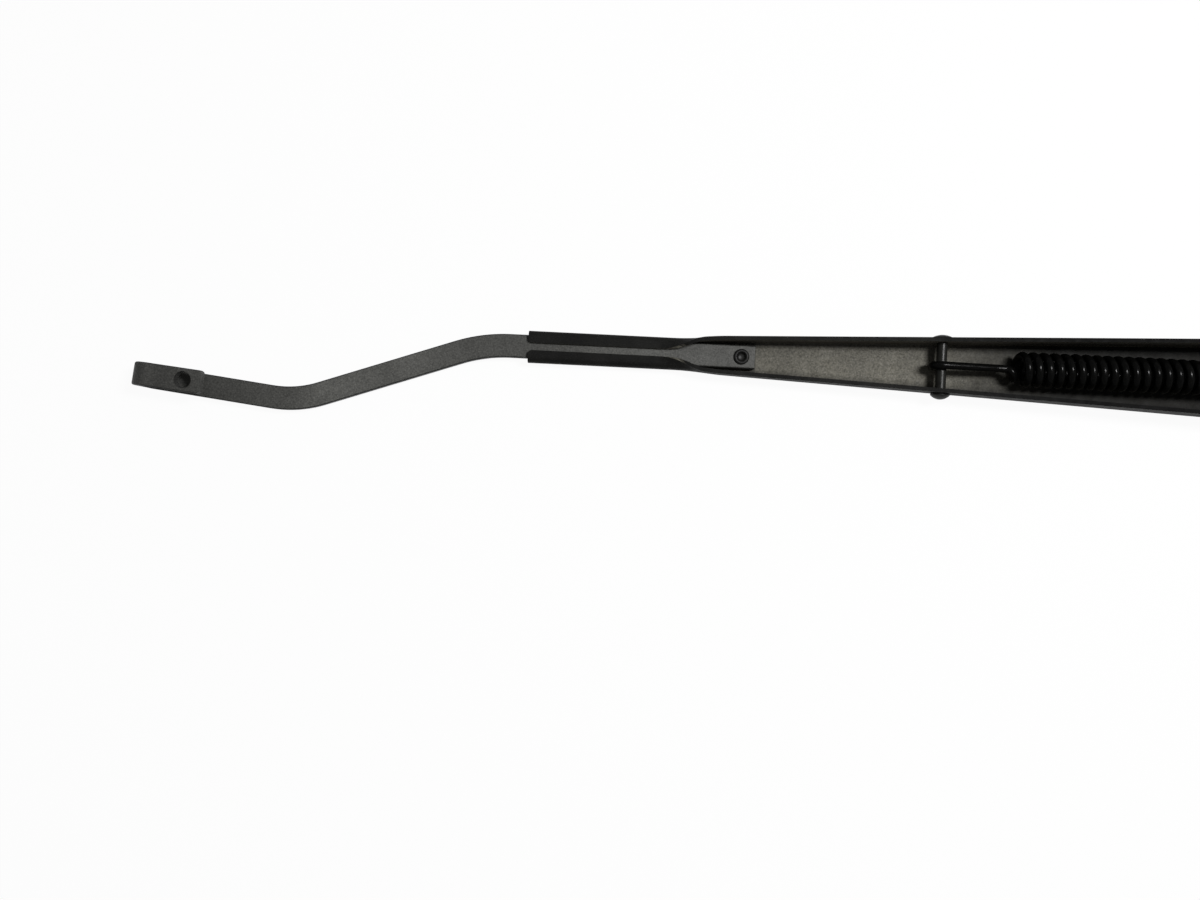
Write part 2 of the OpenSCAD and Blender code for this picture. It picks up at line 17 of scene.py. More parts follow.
import bmesh
import bpy
from bmesh.types import BMesh, BMEdge, BMFace, BMVert
from mathutils import Matrix, Vector

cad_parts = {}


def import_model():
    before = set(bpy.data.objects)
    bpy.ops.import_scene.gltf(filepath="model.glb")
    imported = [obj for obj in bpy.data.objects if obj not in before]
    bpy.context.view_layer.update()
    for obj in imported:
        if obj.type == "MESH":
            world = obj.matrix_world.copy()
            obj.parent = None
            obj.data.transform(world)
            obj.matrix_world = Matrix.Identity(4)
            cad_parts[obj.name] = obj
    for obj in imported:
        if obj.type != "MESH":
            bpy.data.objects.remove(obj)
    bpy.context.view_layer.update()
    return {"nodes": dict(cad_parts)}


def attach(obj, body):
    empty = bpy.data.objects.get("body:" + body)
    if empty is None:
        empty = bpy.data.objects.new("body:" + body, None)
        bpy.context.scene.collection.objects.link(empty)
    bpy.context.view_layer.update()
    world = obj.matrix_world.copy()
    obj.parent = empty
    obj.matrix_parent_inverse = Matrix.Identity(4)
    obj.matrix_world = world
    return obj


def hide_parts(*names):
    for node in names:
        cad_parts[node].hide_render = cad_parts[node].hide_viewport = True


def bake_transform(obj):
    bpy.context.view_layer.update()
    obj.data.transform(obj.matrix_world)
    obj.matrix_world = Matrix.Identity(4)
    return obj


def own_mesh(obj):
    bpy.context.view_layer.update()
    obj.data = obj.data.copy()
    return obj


Colour = tuple[float, float, float]
Factors = tuple[float, float, float]
Band = tuple[float, float]
Stops = tuple[tuple[float, float], ...]
Socket = bpy.types.NodeSocket
Input = Union[Socket, Colour, float]
Ring = list[BMEdge]

LOG = logging.getLogger("wiper_arm")
MM = 0.001
EDGE_LAYER = "worn_edge"
WHITE: Colour = (1.0, 1.0, 1.0)
EVEN: Factors = (1.0, 1.0, 1.0)

# Nearly all of a noise pattern lies in this band
NOISE_BAND: Band = (0.3, 0.7)

# Places of the colours among the sockets of a Mix node
MIX_FIRST = 6
MIX_SECOND = 7
MIX_RESULT = 2

# A colour ramp holds factors up to 1, so they are divided by this and multiplied by it after
RAMP_TOP = 2.0

# How far wide faces outweigh narrow ones where normals are evened
FLAT_WEIGHT = 80


class Body(Enum):
    """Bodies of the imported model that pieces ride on."""

    HEAD = "head"
    ARM = "arm"
    LINK = "link"
    SPRING = "spring"


class Axis(Enum):
    """Directions of the shared frame."""

    X = Vector((1.0, 0.0, 0.0))
    Y = Vector((0.0, 1.0, 0.0))
    Z = Vector((0.0, 0.0, 1.0))


class SheetSide(IntEnum):
    """Sides of the channel's sheet, in the order of its coats."""

    OUTSIDE = 0
    FLOOR = 1
    WALL = 2


class BarSide(IntEnum):
    """Sides of the bar, in the order of its coats."""

    FACE = 0
    EDGE = 1
    HOLE = 2


class PinSide(IntEnum):
    """Parts of the cross pin, in the order of its coats."""

    HEAD = 0
    SHANK = 1


# Node trees


class NodeTree:
    """Node tree with a short call for each node that the finishes and the sky need."""

    def __init__(self, tree: bpy.types.NodeTree) -> None:
        """Empty a tree.

        Args:
            tree: Node tree of a material or a world.
        """
        self.tree = tree
        self.tree.nodes.clear()

    def add(self, kind: str) -> bpy.types.Node:
        """Add a node of a kind."""
        return self.tree.nodes.new(kind)

    def link(self, source: Socket, target: Socket) -> None:
        """Join two sockets."""
        self.tree.links.new(source, target)

    def feed(self, socket: Socket, value: Input) -> None:
        """Set a socket to a number or colour, or link it to another socket.

        Args:
            socket: The input that takes the value.
            value: A number, a colour or an output socket.
        """
        if isinstance(value, bpy.types.NodeSocket):
            self.link(value, socket)
        elif isinstance(value, tuple):
            socket.default_value = (*value, 1.0)
        else:
            socket.default_value = value

    def split(self, place: Socket) -> bpy.types.NodeOutputs:
        """Take coordinates apart.

        Args:
            place: The coordinates.

        Returns:
            The sockets X, Y and Z.
        """
        node = self.add("ShaderNodeSeparateXYZ")
        self.link(place, node.inputs[0])
        return node.outputs

    def span(self, value: Socket, low: float, high: float,
             to_low: float = 0.0, to_high: float = 1.0) -> Socket:
        """Map a range of a pattern to another range, and clamp it there.

        Args:
            value: The pattern.
            low: Value that becomes to_low.
            high: Value that becomes to_high.
            to_low: Result at low.
            to_high: Result at high.

        Returns:
            The mapped pattern.
        """
        node = self.add("ShaderNodeMapRange")
        self.feed(node.inputs["Value"], value)
        for name, number in (("From Min", low), ("From Max", high), ("To Min", to_low), ("To Max", to_high)):
            node.inputs[name].default_value = number
        return node.outputs["Result"]

    def math(self, operation: str, first: Input, second: Input) -> Socket:
        """Combine two patterns or numbers.

        Args:
            operation: Name of the Math node's operation.
            first: Left operand.
            second: Right operand.

        Returns:
            The result.
        """
        node = self.add("ShaderNodeMath")
        node.operation = operation
        self.feed(node.inputs[0], first)
        self.feed(node.inputs[1], second)
        return node.outputs[0]


class Fade(NamedTuple):
    """Painted light and shade, as a coat's factor from its least to its most between two distances from a
    wall.
    """

    from_mm: float
    to_mm: float
    least: float
    most: float


@dataclass(frozen=True)
class PaintedCornerShade:
    """Painted light and shade inside a tapered channel: half its width at the origin, its rise along X,
    and its fades.

    The left fade starts at the wall on the +Y side and the right one at the wall on the -Y side; both
    paint shade beside the walls. The fade across the floor is measured from the +Y side too, and it
    paints light towards the -Y side.
    """

    half_mm: float
    slope: float
    left: Fade
    right: Fade
    across: Fade


class Graph(NodeTree):
    """Node tree of one finish."""

    def __init__(self, name: str) -> None:
        """Start a material with one Principled shader.

        Args:
            name: The material's name.
        """
        self.material = bpy.data.materials.new(name)
        self.material.use_nodes = True
        super().__init__(self.material.node_tree)
        self.output = self.add("ShaderNodeOutputMaterial")
        self.shader = self.add("ShaderNodeBsdfPrincipled")
        self.link(self.shader.outputs["BSDF"], self.output.inputs["Surface"])

    def give(self, name: str, value: Input) -> None:
        """Feed one of the shader's inputs."""
        self.feed(self.shader.inputs[name], value)

    def place(self, stretch: Factors = EVEN) -> Socket:
        """Give the object's coordinates in millimetres.

        Args:
            stretch: Factor on each axis, for a grain that runs one way.

        Returns:
            The socket with the scaled coordinates.
        """
        coords = self.add("ShaderNodeTexCoord")
        mapping = self.add("ShaderNodeMapping")
        mapping.inputs["Scale"].default_value = [s / MM for s in stretch]
        self.link(coords.outputs["Object"], mapping.inputs["Vector"])
        return mapping.outputs["Vector"]

    def noise(self, size_mm: float, detail: float, stretch: Factors = EVEN) -> Socket:
        """Add a noise pattern.

        Args:
            size_mm: Size of its largest features.
            detail: Number of finer layers.
            stretch: Factor on each axis.

        Returns:
            The pattern, from 0 to 1 with a mean near 0.5.
        """
        node = self.add("ShaderNodeTexNoise")
        node.inputs["Scale"].default_value = 1.0 / size_mm
        node.inputs["Detail"].default_value = detail
        self.link(self.place(stretch), node.inputs["Vector"])
        return node.outputs["Fac"]

    def mix(self, share: Input, first: Input, second: Input) -> Socket:
        """Blend two colours.

        Args:
            share: Share of the second colour.
            first: Colour or socket at 0.
            second: Colour or socket at 1.

        Returns:
            The blended colour.
        """
        node = self.add("ShaderNodeMix")
        node.data_type = "RGBA"
        self.feed(node.inputs[0], share)
        self.feed(node.inputs[MIX_FIRST], first)
        self.feed(node.inputs[MIX_SECOND], second)
        return node.outputs[MIX_RESULT]

    def scale(self, colour: Socket, factor: Input) -> Socket:
        """Make a colour lighter or darker.

        Args:
            colour: The colour.
            factor: Its factor, a number or a pattern.

        Returns:
            The changed colour.
        """
        node = self.add("ShaderNodeVectorMath")
        node.operation = "SCALE"
        self.link(colour, node.inputs[0])
        self.feed(node.inputs["Scale"], factor)
        return node.outputs[0]

    def along(self, painted_light_stops: Stops) -> Socket:
        """Give a factor that changes along the object's length, and paints light and shade there.

        Args:
            painted_light_stops: Places along X in millimetres, in order, each with its factor, at most
                RAMP_TOP.

        Returns:
            The factor, which runs straight from one stop to the next.
        """
        first, last = painted_light_stops[0][0], painted_light_stops[-1][0]
        ramp = self.add("ShaderNodeValToRGB")
        elements = ramp.color_ramp.elements
        while len(elements) < len(painted_light_stops):
            elements.new(0.5)
        for i, (place, factor) in enumerate(painted_light_stops):
            elements[i].position = (place - first) / (last - first)
            elements[i].color = (factor / RAMP_TOP,) * 3 + (1.0,)
        self.link(self.span(self.split(self.place())["X"], first, last), ramp.inputs["Fac"])
        return self.math("MULTIPLY", ramp.outputs["Color"], RAMP_TOP)

    def paint_corner_shade(self, painted_corner_shade: PaintedCornerShade) -> Socket:
        """Give a factor that paints shade on a tapered floor beside its walls, and light across it.

        Args:
            painted_corner_shade: The floor's width, and how its coat fades into the corners.

        Returns:
            The factor.
        """
        place = self.split(self.place())
        half = self.math("ADD", self.math("MULTIPLY", place["X"], painted_corner_shade.slope), painted_corner_shade.half_mm)
        from_left = self.math("SUBTRACT", half, place["Y"])
        from_right = self.math("ADD", half, place["Y"])
        left, right = self.span(from_left, *painted_corner_shade.left), self.span(from_right, *painted_corner_shade.right)
        across = self.span(from_left, *painted_corner_shade.across)
        return self.math("MULTIPLY", self.math("MULTIPLY", left, right), across)

    def worn(self, patch: Socket, band: Band, most: float) -> Socket:
        """Tell where a coat is rubbed through, in patches along the rounded edges.

        Args:
            patch: Pattern of the patches.
            band: Range of the patches on the edges that takes the wear from none to all of it.
            most: Share of bare metal where the wear is full.

        Returns:
            The share of bare metal.
        """
        mark = self.add("ShaderNodeAttribute")
        mark.attribute_name = EDGE_LAYER
        return self.span(self.math("MULTIPLY", mark.outputs["Fac"], patch), *band, 0.0, most)

    def rough(self, pattern: Socket, middle: float, steps: Band) -> Socket:
        """Give a roughness that varies with a pattern.

        Args:
            pattern: A noise pattern.
            middle: The finish's own roughness.
            steps: What the low and the high end of the pattern add to it.

        Returns:
            The roughness.
        """
        return self.span(pattern, *NOISE_BAND, middle + steps[0], middle + steps[1])

    def bump(self, height: Socket, depth_mm: float) -> None:
        """Raise the surface by a pattern.

        Args:
            height: The pattern, from 0 to 1.
            depth_mm: Height of a full step.
        """
        node = self.add("ShaderNodeBump")
        node.inputs["Strength"].default_value = 1.0
        node.inputs["Distance"].default_value = depth_mm * MM
        self.link(height, node.inputs["Height"])
        self.give("Normal", node.outputs["Normal"])


def tint(colour: Colour, factor: float) -> Colour:
    """Make a plain colour lighter or darker by a factor."""
    return tuple(channel * factor for channel in colour)


# Finishes


@dataclass(frozen=True)
class Coat:
    """Satin black coat on steel, grainy, cloudy, and rubbed through along its edges.

    A band is the range of a noise pattern over which a mark goes from none to full. The painted light
    stops are places along X in millimetres, each with the factor of the coat's colour there, and they
    paint light and shade along the piece. The painted corner shade darkens a channel's floor beside
    its walls and lightens it towards the -Y side.
    """

    name: str
    colour: Colour
    cloud: Colour
    rubbed: Colour = (0.30, 0.29, 0.27)
    roughness: float = 0.5
    rough_steps: Band = (-0.06, 0.06)
    rough_patch: float = 6.0
    specular: float = 0.5
    grain_mm: float = 0.45
    grain_depth_mm: float = 0.02
    contrast: float = 0.25
    cloud_mm: float = 14.0
    cloud_band: Band = (0.35, 0.68)
    speck: float = 0.35
    speck_size: float = 0.8
    speck_band: Band = (0.58, 0.74)
    wear: float = 0.5
    wear_added: float = 0.35
    wear_gloss: float = 0.15
    wear_band: Band = (0.25, 0.8)
    patch_mm: float = 2.6
    patch_band: Band = (0.62, 0.72)
    patch_shift: Band = (0.3, 0.1)
    # Painted light and shade: along X, and on a channel's floor beside its walls
    painted_light_stops: Stops = ()
    painted_corner_shade: PaintedCornerShade | None = None

    def material(self) -> bpy.types.Material:
        """Build the material.

        Returns:
            The finished material.
        """
        graph = Graph(self.name)
        grain = graph.noise(self.grain_mm, detail=3.0)
        worn = self.worn(graph)
        graph.give("Base Color", graph.mix(worn, self.body(graph, grain), self.rubbed))
        satin = graph.rough(graph.noise(self.grain_mm * self.rough_patch, detail=2.0), self.roughness,
                            self.rough_steps)
        gloss = graph.math("MULTIPLY", worn, self.wear_gloss)
        graph.give("Roughness", graph.math("SUBTRACT", satin, gloss))
        graph.give("Specular IOR Level", self.specular)
        graph.bump(grain, self.grain_depth_mm)
        return graph.material

    def body(self, graph: Graph, grain: Socket) -> Socket:
        """Colour the coat where it isn't worn, with its painted light and shade.

        Args:
            graph: The coat's node tree.
            grain: Pattern of its grain.

        Returns:
            The colour.
        """
        cloud = graph.span(graph.noise(self.cloud_mm, detail=3.0), *self.cloud_band)
        shade = graph.span(grain, *NOISE_BAND, 1.0 - self.contrast, 1.0 + self.contrast)
        speck = graph.span(graph.noise(self.grain_mm * self.speck_size, detail=1.0), *self.speck_band,
                           0.0, self.speck)
        body = graph.scale(graph.mix(cloud, self.colour, self.cloud), shade)
        body = graph.mix(speck, body, self.rubbed)
        # Painted light and shade along X, and painted shade beside a channel's walls
        if self.painted_light_stops:
            body = graph.scale(body, graph.along(self.painted_light_stops))
        if self.painted_corner_shade is not None:
            body = graph.scale(body, graph.paint_corner_shade(self.painted_corner_shade))
        return body

    def worn(self, graph: Graph) -> Socket:
        """Tell where the coat is rubbed through: more wear makes more and larger patches.

        Args:
            graph: The coat's node tree.

        Returns:
            The share of bare metal.
        """
        low, high = (end - shift * self.wear for end, shift in zip(self.patch_band, self.patch_shift))
        patch = graph.span(graph.noise(self.patch_mm, detail=4.0), low, high)
        return graph.worn(patch, self.wear_band, min(1.0, self.wear_added + self.wear))


@dataclass(frozen=True)
class Metal:
    """Bare or phosphated steel with fine lines along one axis."""

    name: str
    colour: Colour
    stain: Colour
    metallic: float = 1.0
    roughness: float = 0.4
    rough_steps: Band = (-0.08, 0.1)
    lines: Factors = EVEN
    line_mm: float = 0.3
    line_depth_mm: float = 0.008
    stain_mm: float = 3.5
    stain_band: Band = (0.42, 0.66)

    def material(self) -> bpy.types.Material:
        """Build the material.

        Returns:
            The finished material.
        """
        graph = Graph(self.name)
        lines = graph.noise(self.line_mm, detail=3.0, stretch=self.lines)
        stain = graph.span(graph.noise(self.stain_mm, detail=4.0), *self.stain_band)
        graph.give("Base Color", graph.mix(stain, self.colour, self.stain))
        graph.give("Metallic", self.metallic)
        graph.give("Roughness", graph.rough(lines, self.roughness, self.rough_steps))
        graph.bump(lines, self.line_depth_mm)
        return graph.material


@dataclass(frozen=True)
class Casting:
    """Black coat on a die casting: pebbled all over, smooth and rubbed where it is handled."""

    name: str
    colour: Colour
    rubbed: Colour
    roughness: float = 0.55
    rough_steps: Band = (-0.08, 0.08)
    pebble_mm: float = 0.9
    pebble_depth_mm: float = 0.05
    cloud_mm: float = 9.0
    cloud_band: Band = (0.4, 0.65)
    cloud_most: float = 0.35
    cloud_light: float = 1.8
    patch_mm: float = 2.2
    patch_band: Band = (0.45, 0.62)
    wear_band: Band = (0.3, 0.85)
    wear_most: float = 0.7

    def material(self) -> bpy.types.Material:
        """Build the material.

        Returns:
            The finished material.
        """
        graph = Graph(self.name)
        pebble = graph.noise(self.pebble_mm, detail=4.0)
        cloud = graph.span(graph.noise(self.cloud_mm, detail=3.0), *self.cloud_band, 0.0, self.cloud_most)
        patch = graph.span(graph.noise(self.patch_mm, detail=4.0), *self.patch_band)
        worn = graph.worn(patch, self.wear_band, self.wear_most)
        body = graph.mix(cloud, self.colour, tint(self.colour, self.cloud_light))
        graph.give("Base Color", graph.mix(worn, body, self.rubbed))
        graph.give("Roughness", graph.rough(pebble, self.roughness, self.rough_steps))
        graph.bump(pebble, self.pebble_depth_mm)
        return graph.material


@dataclass(frozen=True)
class Moulding:
    """Moulded plastic with a faint texture."""

    name: str
    colour: Colour
    roughness: float = 0.45
    rough_steps: Band = (-0.05, 0.08)
    texture_mm: float = 0.25
    texture_depth_mm: float = 0.01
    tone_mm: float = 4.0
    tone_band: Band = (0.35, 0.65)
    tone_dark: float = 0.82

    def material(self) -> bpy.types.Material:
        """Build the material.

        Returns:
            The finished material.
        """
        graph = Graph(self.name)
        texture = graph.noise(self.texture_mm, detail=2.0)
        tone = graph.span(graph.noise(self.tone_mm, detail=2.0), *self.tone_band)
        graph.give("Base Color", graph.mix(tone, self.colour, tint(self.colour, self.tone_dark)))
        graph.give("Roughness", graph.rough(texture, self.roughness, self.rough_steps))
        graph.bump(texture, self.texture_depth_mm)
        return graph.material


@dataclass(frozen=True)
class Ground:
    """White floor, which looks white to the camera and keeps a faint shadow."""

    name: str = "ground_white"
    colour: Colour = (0.82, 0.82, 0.82)
    roughness: float = 0.9
    glow: float = 0.95

    def material(self) -> bpy.types.Material:
        """Build the material.

        Returns:
            The finished material.
        """
        graph = Graph(self.name)
        graph.give("Base Color", self.colour)
        graph.give("Roughness", self.roughness)
        path = graph.add("ShaderNodeLightPath").outputs
        mirrored = graph.math("MAXIMUM", path["Is Glossy Ray"], path["Is Transmission Ray"])
        seen = graph.math("MAXIMUM", path["Is Camera Ray"], mirrored)
        glow = graph.add("ShaderNodeEmission")
        graph.feed(glow.inputs["Color"], WHITE)
        surface = graph.add("ShaderNodeMixShader")
        graph.link(graph.math("MULTIPLY", seen, self.glow), surface.inputs[0])
        graph.link(graph.shader.outputs["BSDF"], surface.inputs[1])
        graph.link(glow.outputs["Emission"], surface.inputs[2])
        graph.link(surface.outputs[0], graph.output.inputs["Surface"])
        return graph.material


# Its stops paint shade: the outside darkens from X -240 mm towards the head.
CHANNEL_OUTSIDE = Coat("channel_outside", (0.0065, 0.0065, 0.0062), (0.0105, 0.0105, 0.0098),
                       rubbed=(0.13, 0.13, 0.122), roughness=0.62, speck=0.08, wear=0.3, specular=0.06,
                       painted_light_stops=((-240.0, 1.0), (-165.0, 0.2)))
# Its stops paint shade under and beside the bar up to the bar's end, a little light past it, and deep shade
# towards the head where the spring lies. Its corner shade paints shade beside the walls and light across the
# floor towards the -Y side.
CHANNEL_INSIDE = Coat("channel_inside", (0.090, 0.0855, 0.071), (0.118, 0.112, 0.093), roughness=0.6,
                      grain_mm=0.65, speck=0.22, wear=0.3, specular=0.12, contrast=0.4,
                      painted_light_stops=((-285.6, 0.4), (-285.2, 0.96), (-232.0, 1.05), (-212.0, 0.84),
                             (-198.0, 0.42), (-170.0, 0.075)),
                      painted_corner_shade=PaintedCornerShade(half_mm=16.1, slope=0.0346, left=Fade(0.0, 5.5, 0.7, 1.0),
                                  right=Fade(0.0, 3.0, 0.35, 1.0), across=Fade(5.5, 11.0, 0.95, 1.15)))
# The walls take the same coat without its painted light and shade.
CHANNEL_WALL = replace(CHANNEL_INSIDE, name="channel_wall", grain_mm=0.8, speck=0.15, painted_light_stops=(), painted_corner_shade=None)
# Its stops paint light and shade along the bar: darker at the hook and at the crimp's mouth, lighter in the
# bar's middle and inside the crimp. They also give a narrow lighter band at the fold's start.
BAR_COAT = Coat("bar_coat", (0.0565, 0.0565, 0.0528), (0.0715, 0.0715, 0.067), roughness=0.55,
                grain_mm=0.65, speck=0.17, wear=0.35, grain_depth_mm=0.025, specular=0.2, contrast=0.32,
                painted_light_stops=((-519.0, 0.8), (-515.5, 1.08), (-512.0, 0.8), (-497.0, 0.83), (-462.0, 1.1),
                       (-455.0, 1.42), (-420.0, 1.34), (-390.0, 0.93), (-370.0, 0.93), (-335.0, 1.2),
                       (-295.0, 1.04)))
# A darker copy of the bar's coat on its sides and its tail end: painted shade.
BAR_EDGE_SHADE = Coat("bar_edge_shade", (0.016, 0.016, 0.0155), (0.026, 0.026, 0.025), rubbed=(0.12, 0.12, 0.115),
                roughness=0.5, speck=0.1, wear=0.3, specular=0.15)
# A darker coat on the wall of the hook's hole: painted shade in the hole.
HOLE_SHADE_COAT = Coat("hole_shade", (0.030, 0.030, 0.0285), (0.040, 0.040, 0.038), rubbed=(0.12, 0.12, 0.115),
                 roughness=0.55, speck=0.1, wear=0.2, specular=0.15)
RIVET_COAT = Coat("rivet_coat", (0.007, 0.007, 0.0068), (0.012, 0.012, 0.011), rubbed=(0.12, 0.12, 0.115),
                  roughness=0.48, speck=0.06, wear=0.4, cloud_mm=3.0, specular=0.2)
PIN_COAT = Coat("pin_coat", (0.007, 0.007, 0.0061), (0.011, 0.011, 0.0096), rubbed=(0.14, 0.14, 0.13),
                roughness=0.36, speck=0.06, wear=0.3, cloud_mm=4.0, specular=0.2)
SPRING_COAT = Coat("spring_coat", (0.0016, 0.0016, 0.0015), (0.0024, 0.0024, 0.0023), roughness=0.22,
                   speck=0.01, wear=0.0, cloud_mm=6.0, grain_depth_mm=0.004, specular=0.08)
HEAD_CASTING = Casting("head_casting", (0.022, 0.022, 0.021), (0.22, 0.22, 0.21))
BUSH_MOULDING = Moulding("bush_moulding", (0.34, 0.33, 0.29))
PIN_STEEL = Metal("pin_steel", (0.52, 0.51, 0.49), (0.36, 0.35, 0.33), lines=(1.0, 0.05, 1.0))
LINK_STEEL = Metal("link_steel", (0.10, 0.10, 0.098), (0.06, 0.058, 0.055), metallic=0.7, roughness=0.45,
                   lines=(0.08, 1.0, 1.0))
GROUND = Ground()


# Meshes


def link_mesh(name: str, mesh: BMesh, materials: Sequence[bpy.types.Material]) -> bpy.types.Object:
    """Turn a bmesh into an object of the scene.

    Args:
        name: Name of the object and its mesh.
        mesh: The finished bmesh, which is freed.
        materials: Materials in the order of the faces' material numbers.

    Returns:
        The new object, at the origin.
    """
    data = bpy.data.meshes.new(name)
    mesh.to_mesh(data)
    mesh.free()
    for material in materials:
        data.materials.append(material)
    piece = bpy.data.objects.new(name, data)
    bpy.context.scene.collection.objects.link(piece)
    return piece


def smooth_by_angle(mesh: BMesh, limit_deg: float) -> None:
    """Shade a mesh smooth, with its edges sharp where its faces meet at more than an angle.

    Args:
        mesh: The mesh to shade.
        limit_deg: Angle above which an edge stays sharp.
    """
    limit = math.radians(limit_deg)
    for face in mesh.faces:
        face.smooth = True
    for edge in mesh.edges:
        edge.smooth = len(edge.link_faces) == 2 and edge.calc_face_angle(math.pi) < limit


def even_normals(piece: bpy.types.Object) -> None:
    """Keep wide flat faces flat beside rounded edges.

    Args:
        piece: A piece whose mesh is shaded smooth by angle.
    """
    modifier = piece.modifiers.new("even_normals", "WEIGHTED_NORMAL")
    modifier.keep_sharp = True
    modifier.weight = FLAT_WEIGHT


def shares(steps: int) -> list[float]:
    """Divide a stretch into even steps, and give the steps' ends from 0 to 1."""
    return [i / steps for i in range(steps + 1)]


def ease(share: float) -> float:
    """Turn an even change from 0 to 1 into one that starts and ends gently."""
    return share * share * (3.0 - 2.0 * share)


def ring_verts(ring: Ring) -> list[BMVert]:
    """List the points of a ring of edges, each once and in order."""
    return list(dict.fromkeys(vert for edge in ring for vert in edge.verts))


@dataclass
class DressedNode:
    """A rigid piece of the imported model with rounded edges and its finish."""

    node: str
    body: Body
    slot: str
    finishes: Sequence[Coat | Metal | Casting | Moulding]
    round_mm: float
    round_above_deg: float = 40.0
    segments: int = 2
    merge_mm: float = 0.002
    flat_deg: float = 0.4
    smooth_deg: float = 38.0
    choose: Callable[[BMFace], IntEnum] | None = None

    def build(self, nodes: dict[str, bpy.types.Object]) -> bpy.types.Object:
        """Copy the node's mesh, round its edges and put the copy in its place.

        Args:
            nodes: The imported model's objects by name.

        Returns:
            The finished piece.
        """
        mesh = bmesh.new()
        mesh.from_mesh(nodes[self.node].data)
        bmesh.ops.remove_doubles(mesh, verts=mesh.verts, dist=self.merge_mm * MM)
        bmesh.ops.dissolve_limit(mesh, angle_limit=math.radians(self.flat_deg), verts=mesh.verts,
                                 edges=mesh.edges)
        self.round_edges(mesh)
        smooth_by_angle(mesh, self.smooth_deg)
        if self.choose is not None:
            for face in mesh.faces:
                face.material_index = self.choose(face)
        piece = link_mesh(f"{self.node}_dressed", mesh, [f.material() for f in self.finishes])
        even_normals(piece)
        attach(piece, self.body.value)
        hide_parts(self.node)
        return piece

    def round_edges(self, mesh: BMesh) -> None:
        """Round every sharp edge and mark the middle of each rounding as worn.

        Args:
            mesh: The merged mesh of the piece.
        """
        limit = math.radians(self.round_above_deg)
        sharp = [e for e in mesh.edges if len(e.link_faces) == 2 and e.calc_face_angle(0.0) > limit]
        worn = mesh.verts.layers.float.new(EDGE_LAYER)
        if not sharp:
            return
        made = bmesh.ops.bevel(
            mesh, geom=sharp, offset=self.round_mm * MM, offset_type="OFFSET", affect="EDGES",
            segments=self.segments, profile=0.5, clamp_overlap=True, material=-1, loop_slide=True)
        strip = set(made["faces"])
        for vert in made["verts"]:
            if vert.is_valid and all(face in strip for face in vert.link_faces):
                vert[worn] = 1.0


# Tension spring


